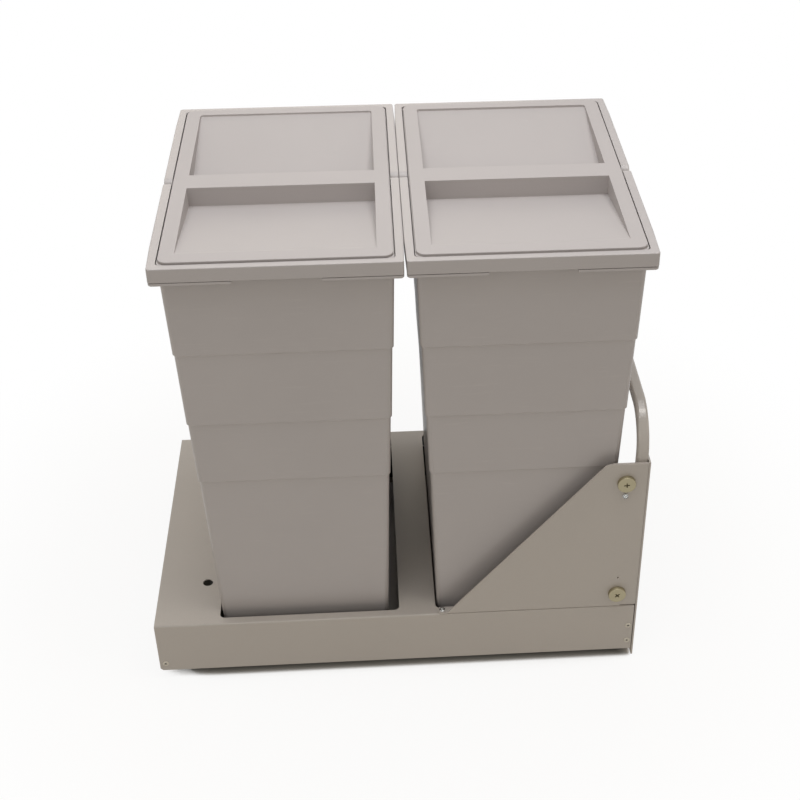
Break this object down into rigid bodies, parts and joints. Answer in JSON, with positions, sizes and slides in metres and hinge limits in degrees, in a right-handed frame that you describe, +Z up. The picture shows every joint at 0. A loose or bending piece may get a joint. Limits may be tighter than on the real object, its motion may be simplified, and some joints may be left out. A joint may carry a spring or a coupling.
{
  "type": "pull-out waste bin frame",
  "caption": "Kitchen base cabinet pull-out: folded steel frame on full-extension slides carrying tapered, lidded waste bins with fold-down carry handles and an arch pull handle.",
  "frame": {"origin": "on the cabinet floor, under the middle of the whole object", "axes": "+X the way the frame pulls out, +Y from the near side to the far side, +Z up"},
  "size_m": [0.563, 0.3776, 0.5615],
  "materials": {
    "painted_steel": "satin warm grey powder coat",
    "dark_steel": "satin black electrocoat",
    "zinc_steel": "bright zinc plate",
    "slide_steel": "zinc plated cold-rolled strip",
    "ball_steel": "polished",
    "yellow_zinc": "pale yellow passivated zinc",
    "grey_plastic": "fine matt moulded grain",
    "lid_plastic": "fine matt moulded grain"
  },
  "bodies": {
    "base": {"floor_rail_near": "dark_steel", "floor_rail_far": "dark_steel", "floor_crossbar_rear": "dark_steel", "floor_crossbar_front": "dark_steel", "slide_outer_near": "slide_steel", "slide_outer_far": "slide_steel", "rail_rivets": "zinc_steel"},
    "slide_middle": {"slide_middle_near": "slide_steel", "slide_middle_far": "slide_steel"},
    "outer_cages": {"outer_ball_cage_near": "slide_steel", "outer_ball_cage_far": "slide_steel", "outer_balls_near": "ball_steel", "outer_balls_far": "ball_steel"},
    "inner_cages": {"inner_ball_cage_near": "slide_steel", "inner_ball_cage_far": "slide_steel", "inner_balls_near": "ball_steel", "inner_balls_far": "ball_steel"},
    "carriage": {"frame_cover": "painted_steel", "front_crosspiece": "painted_steel", "bin_tray": "painted_steel", "slide_carrier_near": "zinc_steel", "slide_carrier_far": "zinc_steel", "slide_inner_near": "slide_steel", "slide_inner_far": "slide_steel", "slide_inner_rivets": "zinc_steel", "side_gusset_near": "painted_steel", "side_gusset_far": "painted_steel", "cover_rivets": "painted_steel", "gusset_screws": "zinc_steel", "clamp_screws": "yellow_zinc", "clamp_nuts": "zinc_steel", "lock_screws": "zinc_steel"},
    "door_frame": {"door_bracket_near": "painted_steel", "door_bracket_far": "painted_steel", "arch_handle": "painted_steel"},
    "rear_bin": {"rear_bin": "grey_plastic"},
    "rear_lid": {"rear_lid": "lid_plastic"},
    "rear_bin_handle_near": {"rear_bin_handle_near": "grey_plastic"},
    "rear_bin_handle_far": {"rear_bin_handle_far": "grey_plastic"},
    "front_bin": {"front_bin": "grey_plastic"},
    "front_lid": {"front_lid": "lid_plastic"},
    "front_bin_handle_near": {"front_bin_handle_near": "grey_plastic"},
    "front_bin_handle_far": {"front_bin_handle_far": "grey_plastic"}
  },
  "joints": [
    {"name": "carriage_slide", "type": "slide", "parent": "base", "child": "carriage", "axis": [1, 0, 0], "range_m": [0, 0.5]},
    {"name": "middle_slide", "type": "slide", "parent": "base", "child": "slide_middle", "axis": [1, 0, 0], "range_m": [0, 0.25]},
    {"name": "outer_cage_slide", "type": "slide", "parent": "base", "child": "outer_cages", "axis": [1, 0, 0], "range_m": [0, 0.125]},
    {"name": "inner_cage_slide", "type": "slide", "parent": "base", "child": "inner_cages", "axis": [1, 0, 0], "range_m": [0, 0.375]},
    {"name": "door_adjust", "type": "slide", "parent": "carriage", "child": "door_frame", "axis": [0, 0, 1], "range_m": [-0.003, 0.003]},
    {"name": "rear_bin_lift", "type": "slide", "parent": "carriage", "child": "rear_bin", "axis": [0, 0, 1], "range_m": [0, 0.5]},
    {"name": "rear_lid_lift", "type": "slide", "parent": "rear_bin", "child": "rear_lid", "axis": [0, 0, 1], "range_m": [0, 0.1]},
    {"name": "rear_near_handle_fold", "type": "hinge", "parent": "rear_bin", "child": "rear_bin_handle_near", "pos_m": [-0.10685, -0.0085, 0.5517], "axis": [-1, 0, 0], "range_deg": [0, 90]},
    {"name": "rear_far_handle_fold", "type": "hinge", "parent": "rear_bin", "child": "rear_bin_handle_far", "pos_m": [-0.10685, 0.0085, 0.5517], "axis": [1, 0, 0], "range_deg": [0, 90]},
    {"name": "front_bin_lift", "type": "slide", "parent": "carriage", "child": "front_bin", "axis": [0, 0, 1], "range_m": [0, 0.5]},
    {"name": "front_lid_lift", "type": "slide", "parent": "front_bin", "child": "front_lid", "axis": [0, 0, 1], "range_m": [0, 0.1]},
    {"name": "front_near_handle_fold", "type": "hinge", "parent": "front_bin", "child": "front_bin_handle_near", "pos_m": [0.14425, -0.0085, 0.5517], "axis": [-1, 0, 0], "range_deg": [0, 90]},
    {"name": "front_far_handle_fold", "type": "hinge", "parent": "front_bin", "child": "front_bin_handle_far", "pos_m": [0.14425, 0.0085, 0.5517], "axis": [1, 0, 0], "range_deg": [0, 90]}
  ],
  "couplings": [
    {"joint": "middle_slide", "follows": "carriage_slide", "ratio": 0.5},
    {"joint": "outer_cage_slide", "follows": "carriage_slide", "ratio": 0.25},
    {"joint": "inner_cage_slide", "follows": "carriage_slide", "ratio": 0.75}
  ]
}
